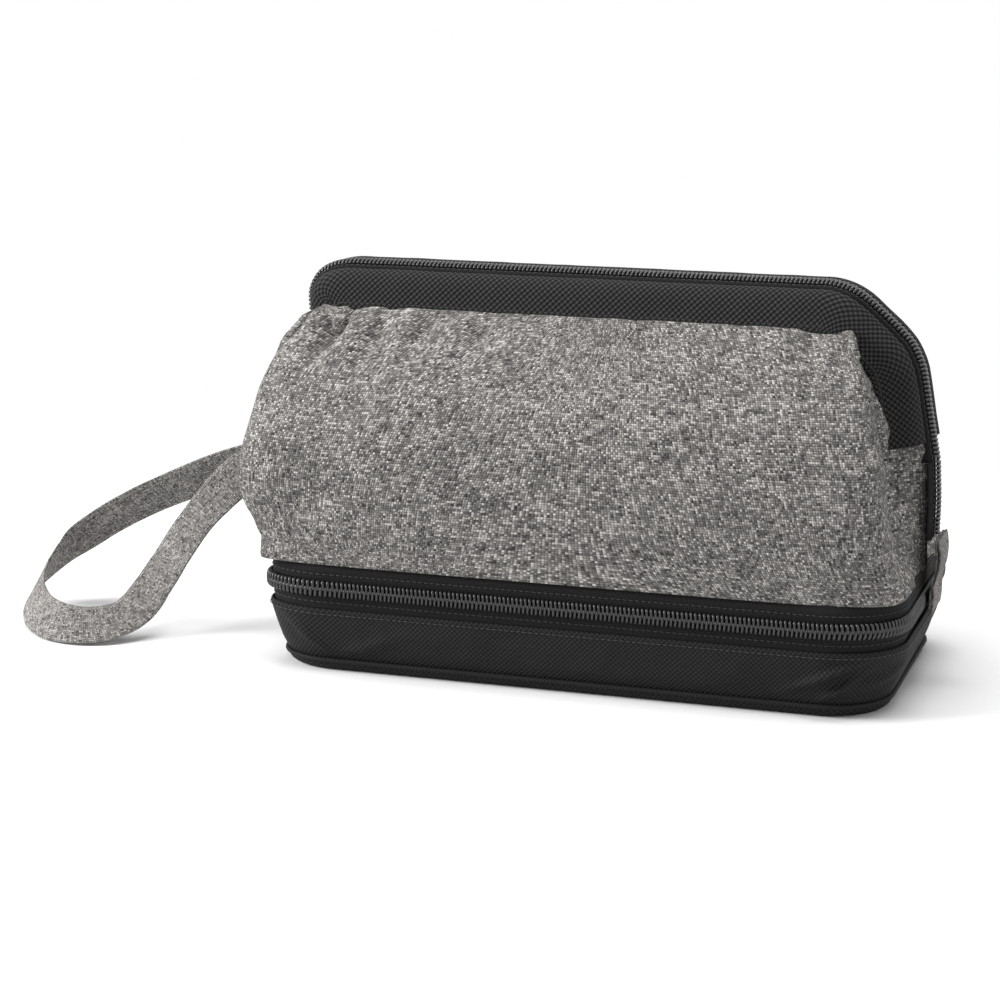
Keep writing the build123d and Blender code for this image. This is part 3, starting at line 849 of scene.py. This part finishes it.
def ring_places(pitch, outset, height, up_side=1, gap=0.0, shift=0.0, slant=0.0):
    """Places round the bag: axes along the run, up or down across the zip, and outward."""
    count = int((PERIMETER - gap) / pitch)
    spots, normals, at = outline_run(4000, 0.001)
    places = []
    for run in gap / 2 + shift + pitch * np.arange(count):
        spot = np.array([np.interp(run, at, spots[:, i]) for i in (0, 1)])
        normal = np.array([np.interp(run, at, normals[:, i]) for i in (0, 1)])
        normal /= np.linalg.norm(normal)
        along = np.array([-normal[1], normal[0], slant * up_side])
        across = np.array([normal[1] * slant, -normal[0] * slant, up_side])
        outward = np.array([normal[0], normal[1], 0])
        origin = np.array([*(spot + normal * outset), height])
        places.append((origin, (along, across, outward)))
    return places


LOWER_TAPE = ((-1.7, 24.2), (-1.9, 26.5), (-1.95, 29), (-1.85, 31.5), (-1.75, 33.4))
UPPER_TAPE = ((-1.75, 34.6), (-1.85, 36.5), (-1.95, 39), (-1.9, 41.5), (-1.75, 43.8))
BASE_ZIP = (("lower", -1, "base", LOWER_TAPE), ("upper", 1, "pouch", UPPER_TAPE))

base_wall()
base_bottom()
base_piping()
wall_seam = ring_places(STITCH, 0.12, 24.0)
copies("base_top_stitches", STITCH_SHAPE, STITCH_FACES, wall_seam, THREAD, "base")
for name, _, body, profile in BASE_ZIP:
    tape = ring_grid(profile, RING_COUNT, ZIP_GAP - 6)
    cloth(f"base_{name}_tape", tape, TAPE_THICKNESS, TAPE, body, (f"base_zip_tape_{name}",))
for name, up_side, body, _ in BASE_ZIP:
    shift = HALF_PITCH * (up_side > 0)
    teeth = ring_places(TOOTH_PITCH, 0.4, ZIP_Z, up_side, ZIP_GAP, shift, TOOTH_SLANT)
    copies(
        f"base_{name}_teeth", TOOTH, TOOTH_FACES, teeth, COIL, body, (f"base_zip_coil_{name}",)
    )
    seam = ring_places(STITCH, -1.72, ZIP_Z + up_side * 5.6, up_side, ZIP_GAP)
    copies(f"base_{name}_tape_stitches", STITCH_SHAPE, STITCH_FACES, seam, THREAD, body)


# The hinge at the middle of the back, and the soft floor and linings

HINGE = ("base", "pouch", (0, 65.4 * MM, 30.5 * MM), (0, 65.4 * MM, 37.5 * MM))


def hinge_strip():
    """The cloth that joins base and pouch where the base zip stops short."""
    sinks = (
        (24.2, 1.2), (26, 1.5), (29, 1.9), (32, 2.1), (34, 2.2), (36, 2.1), (39, 1.9), (42, 1.5), (43.9, 1.2),
    )
    fine = np.linspace(0, len(sinks) - 1, 25)
    heights = np.interp(fine, range(len(sinks)), [h for h, _ in sinks])
    depths = np.interp(fine, range(len(sinks)), [s for _, s in sinks])
    xs = np.linspace(ZIP_GAP / 2, -ZIP_GAP / 2, 160)
    grid = np.array([[(x, DEPTH / 2 - s, z) for x in xs] for z, s in zip(heights, depths)])
    grid[..., 1:2] += wobble(grid, 0.5, 24, 31)
    cloth("base_hinge_cloth", grid, SOFT_THICKNESS, OXFORD, HINGE, ("base_hinge_strip",))


TUB_THICKNESS = 0.4


def tub(name, profile, top_scale, body, node, seed, amount):
    """A soft tray: from the middle of its floor, round its bottom edge and up its wall."""
    grid = ring_grid(profile, 360)
    height = grid[..., 2:]
    share = np.clip((height - profile[2][1]) / (profile[-1][1] - profile[2][1]), 0, 1)
    grid[..., :1] *= 1 + share * (top_scale - 1)
    grid += wobble(grid, amount, 22, seed) * np.array([0.5, 0.5, 0.25])
    rows = middle_rows(grid[0], ((0.2, 0), (0.7, 0.62), (0.9, 0.86)))
    cloth(name, np.concatenate([rows, grid]), TUB_THICKNESS, LINING, body, (node,), closed=True)


def pouch_floor():
    """The main compartment's floor cloth, turned up at its edge."""
    profile = ((-14, 42.7), (-6, 42.7), (-3.2, 42.8), (-2.3, 43.2), (-2.0, 44.0), (-2.1, 44.9))
    grid = ring_grid(profile, 420)
    grid = np.concatenate([middle_rows(grid[0], ((0.2, 0), (0.6, 0.5), (0.85, 0.8))), grid])
    cloth(
        "pouch_floor_cloth", grid, SOFT_THICKNESS, OXFORD, "pouch", ("pouch_floor_panel",),
        closed=True,
    )


hinge_strip()
pouch_floor()
BASE_TUB = ((-12, 4.2), (-7.4, 4.4), (-6.2, 5.8), (-5.0, 10), (-3.8, 18), (-3.0, 23.6))
POUCH_TUB = ((-16, 46), (-10.5, 46.3), (-8.6, 48), (-8, 55), (-8, 64), (-8, 72))
tub("base_lining_tub", BASE_TUB, 1.0, "base", "base_lining", 41, 0.5)
tub("pouch_lining_tub", POUCH_TUB, 0.897, "pouch", "pouch_lining", 43, 0.8)


# Fabric tabs at the ends of the zip


TAB_HALF = 11.0


def tab(name, path, thickness, node, seed, outward):
    """A band of strap cloth folded along a path seen from the front."""
    across = np.linspace(-TAB_HALF, TAB_HALF, 26)
    grid = np.array([[(x, y, z) for y in across] for x, z in bent(path, 46)])
    grid[..., :1] += wobble(grid, 0.35, 12, seed)
    edge = np.abs(grid[..., 1:2]) / TAB_HALF
    grid[..., 1:2] *= 1 - 0.012 * np.sin(grid[..., 2:] / 5.0)
    grid[..., :1] -= outward * 0.5 * np.clip(edge - 0.8, 0, 1)
    cloth(name, grid, thickness, STRAP_CLOTH, "pouch", (node,), inward=outward < 0)


RIGHT_TAB = (
    (132.0, 57.9), (132.0, 54.0), (131.3, 50.0), (130.1, 46.0), (129.1, 42.5), (128.6, 39.0), (128.4, 35.0),
    (128.4, 31.0), (128.2, 29.2), (127.5, 28.5), (126.9, 29.2), (126.7, 31.0), (126.7, 35.0), (126.8, 39.0),
    (127.3, 42.5), (128.2, 46.0), (129.3, 50.0), (130.0, 54.0), (130.1, 57.6),
)
LEFT_TAB = (
    (-131.5, 54.4), (-131.4, 60.0), (-131.4, 70.0), (-131.4, 80.0), (-131.6, 81.8), (-132.1, 82.2),
    (-132.6, 81.6), (-132.7, 80.0), (-132.7, 70.0), (-132.7, 60.0), (-132.6, 54.2),
)
tab("right_tab_cloth", RIGHT_TAB, 0.75, "right_zip_tab", 51, 1)
tab("left_tab_cloth", LEFT_TAB, 0.5, "left_zip_tab", 52, -1)

RIGHT_TAB_AXES = ((0, 1, 0), (0, 0, 1), (1, 0, 0))
LEFT_TAB_AXES = ((0, 1, 0), (0, 0, -1), (-1, 0, 0))
tab_stitches = []
for y in np.arange(-9.6, 9.7, STITCH):
    tab_stitches.append((np.array([132.05, y, 55.6]), RIGHT_TAB_AXES))
    tab_stitches.append((np.array([-132.75, y, 79.0]), LEFT_TAB_AXES))
copies("tab_stitches", STITCH_SHAPE, STITCH_FACES, tab_stitches, GREY_THREAD, "pouch")


# Wrist strap: a flat band looped on itself and sewn to the left tab

STRAP_WIDTH = 17.0
STRAP_THICKNESS = 1.6
STRAP_SEAM = 7.0  # how far its two seams lie from its middle
STRAP_STITCH = 2.6
SEAM_FACE = 0.62  # where the thread lies between the band's middle and its face

# Each station has its place and its lean: how far the band's width turns from upright
STRAP_STATIONS = (
    (-133.0, 1.1, 69, 0), (-145, 1.1, 69, -3), (-157, 2.2, 66.5, -12), (-172, 4, 61.5, -24),
    (-191, 6, 53.5, -32), (-211, 7, 44, -36), (-228, 6, 34, -36), (-241, 2, 24, -34),
    (-247.5, -9, 15.0, -32), (-246, -23, 9.8, -32), (-237, -38, 7.9, -34), (-224, -50, 7.4, -38),
    (-210, -55, 7.2, -42), (-198, -51, 7.8, -50), (-191, -42, 10.5, -61), (-187, -31, 19, -72),
    (-183, -21, 29, -72), (-177, -13, 41, -55), (-168, -8, 53, -32), (-156, -4, 64.5, -12),
    (-145, -1.1, 69, -3), (-133.0, -1.1, 69, 0),
)
STRAP_BEND = ("pouch", "wrist_strap", (-133.2 * MM, 0, 69 * MM), (-150 * MM, 0, 69 * MM))


def turned(vector, axis, degrees):
    """A vector turned about a unit axis."""
    angle = math.radians(degrees)
    side = np.cross(axis, vector)
    along = axis * (axis @ vector)
    return vector * math.cos(angle) + side * math.sin(angle) + along * (1 - math.cos(angle))


def strap_frames(count):
    """Centres of the strap's run, with its width and face directions and its own run."""
    stations = bent(STRAP_STATIONS, count)
    centres = stations[:, :3]
    ways = np.gradient(centres, axis=0)
    ways /= np.linalg.norm(ways, axis=1, keepdims=True)
    frames = []
    for centre, way, lean in zip(centres, ways, stations[:, 3]):
        upright = np.array([0, 0, 1.0]) - way * way[2]
        width = turned(upright / np.linalg.norm(upright), way, lean)
        frames.append((centre, way, width, np.cross(way, width)))
    runs = np.concatenate([[0], np.cumsum(np.linalg.norm(np.diff(centres, axis=0), axis=1))])
    return frames, runs


def strap():
    """The band, grooved along its two seams, and its stitches on both faces."""
    frames, runs = strap_frames(360)
    half = STRAP_WIDTH / 2
    across = np.sin(np.linspace(-math.pi / 2, math.pi / 2, 22)) * half
    swell = np.sqrt(np.clip(1 - np.abs(across / half) ** 7, 0, 1)) * STRAP_THICKNESS / 2
    groove = 0.16 * np.exp(-(((np.abs(across) - STRAP_SEAM) / 0.45) ** 2))
    face = swell - groove
    section = list(zip(across, face)) + list(zip(across[::-1][1:-1], -face[::-1][1:-1]))
    grid = np.array([[c + width * w + out * t for w, t in section] for c, _, width, out in frames])
    grid += wobble(grid, 0.25, 14, 61)
    tube("wrist_strap_band", grid, STRAP_CLOTH, STRAP_BEND, ("wrist_strap",))
    places = []
    for run in np.arange(3.0, runs[-1] - 3.0, STRAP_STITCH):
        k = int(np.searchsorted(runs, run))
        centre, way, width, out = frames[k]
        for edge in (-STRAP_SEAM, STRAP_SEAM):
            for face_side in (-1, 1):
                origin = centre + width * edge + out * face_side * SEAM_FACE
                places.append((origin, (way, width, out * face_side)))
    copies(
        "wrist_strap_stitches", STITCH_SHAPE, STITCH_FACES, places, GREY_THREAD, STRAP_BEND,
    )


strap()


# Hard parts that keep the CAD's own shape: sliders, pulls, stops and boards


def dress(node, material, edge=0.0):
    """A CAD node with its material, and with softened edges where they show."""
    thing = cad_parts[node]
    thing.data.materials.clear()
    thing.data.materials.append(material)
    if edge:
        weld = thing.modifiers.new("weld", "WELD")
        weld.merge_threshold = 0.02 * MM
        bevel = thing.modifiers.new("bevel", "BEVEL")
        bevel.width = edge * MM
        bevel.segments = 3
        bevel.limit_method = "ANGLE"
        bevel.angle_limit = math.radians(35)


for node in ("main_zip_slider", "main_zip_pull", "base_zip_slider", "base_zip_pull"):
    dress(node, ENAMEL, 0.22)
for node in ("main_zip_stop", "base_zip_stops"):
    dress(node, COIL, 0.25)
for node in ("base_stiffener", "pouch_floor_stiffener"):
    dress(node, BOARD)


# Floor, light and camera, in metres

FLOOR_HALF = 3
FADE_START = 0.24
FADE_END = 0.42
LIGHT_TARGET = (0, 0, 0.06)
CAMERA_PLACE = (0.2697, -0.9719, 0.2969)
CAMERA_TARGET = (-0.025, -0.065, 0.075)


def white_floor():
    """A white floor that fades into the white world away from the bag."""
    mesh = bpy.data.meshes.new("floor")
    corners = [(x * FLOOR_HALF, y * FLOOR_HALF, 0) for x, y in ((-1, -1), (1, -1), (1, 1), (-1, 1))]
    mesh.from_pydata(corners, [], [(0, 1, 2, 3)])
    floor = bpy.data.objects.new("floor", mesh)
    bpy.context.scene.collection.objects.link(floor)
    paint = Paint("white_floor", grey(0.95), 0.9, 0.1)
    place = paint.nodes.new("ShaderNodeTexCoord")
    length = paint.nodes.new("ShaderNodeVectorMath")
    length.operation = "LENGTH"
    paint.links.new(place.outputs["Object"], length.inputs[0])
    far = paint.nodes.new("ShaderNodeMapRange")
    far.interpolation_type = "SMOOTHSTEP"
    far.inputs["From Min"].default_value = FADE_START
    far.inputs["From Max"].default_value = FADE_END
    paint.links.new(length.outputs["Value"], far.inputs["Value"])
    clear = paint.nodes.new("ShaderNodeBsdfTransparent")
    mix = paint.nodes.new("ShaderNodeMixShader")
    paint.links.new(far.outputs[0], mix.inputs[0])
    paint.links.new(paint.shader.outputs[0], mix.inputs[1])
    paint.links.new(clear.outputs[0], mix.inputs[2])
    paint.links.new(mix.outputs[0], paint.nodes["Material Output"].inputs["Surface"])
    mesh.materials.append(paint.material)
    return floor


def white_world(light):
    """White where the camera or a mirror looks, and a softer light elsewhere."""
    world = bpy.data.worlds.new("white")
    bpy.context.scene.world = world
    world.use_nodes = True
    nodes, links = world.node_tree.nodes, world.node_tree.links
    lighting = nodes["Background"]
    lighting.inputs["Color"].default_value = (1, 1, 1, 1)
    lighting.inputs["Strength"].default_value = light
    seen = nodes.new("ShaderNodeBackground")
    seen.inputs["Color"].default_value = (1, 1, 1, 1)
    seen.inputs["Strength"].default_value = 1.0
    path = nodes.new("ShaderNodeLightPath")
    either = nodes.new("ShaderNodeMath")
    either.operation = "MAXIMUM"
    links.new(path.outputs["Is Camera Ray"], either.inputs[0])
    links.new(path.outputs["Is Glossy Ray"], either.inputs[1])
    mix = nodes.new("ShaderNodeMixShader")
    links.new(either.outputs[0], mix.inputs[0])
    links.new(lighting.outputs[0], mix.inputs[1])
    links.new(seen.outputs[0], mix.inputs[2])
    links.new(mix.outputs[0], nodes["World Output"].inputs["Surface"])


def softbox(name, place, size, power):
    """An area light that looks at the bag."""
    light = bpy.data.lights.new(name, "AREA")
    light.shape = "RECTANGLE"
    light.size, light.size_y = size
    light.energy = power
    lamp = bpy.data.objects.new(name, light)
    bpy.context.scene.collection.objects.link(lamp)
    lamp.location = place
    lamp.rotation_euler = (Vector(LIGHT_TARGET) - Vector(place)).to_track_quat("-Z", "Y").to_euler()
    return lamp


white_world(0.28)
stage_pieces = [
    white_floor(),
    softbox("key", (-1.5, -0.6, 0.8), (0.7, 0.7), 34),
    softbox("fill", (1.3, -0.6, 0.7), (0.7, 0.7), 4),
    softbox("top", (0.0, 0.1, 1.6), (1.2, 0.9), 22),
]

camera_data = bpy.data.cameras.new("camera")
camera_data.sensor_width = 36
camera_data.lens = 93.42
camera_data.clip_start = 0.05
camera_data.clip_end = 20
camera = bpy.data.objects.new("camera", camera_data)
bpy.context.scene.collection.objects.link(camera)
camera.location = CAMERA_PLACE
aim = Vector(CAMERA_TARGET) - camera.location
camera.rotation_euler = aim.to_track_quat("-Z", "Y").to_euler()
bpy.context.scene.camera = camera
bpy.context.scene.view_settings.view_transform = "Standard"
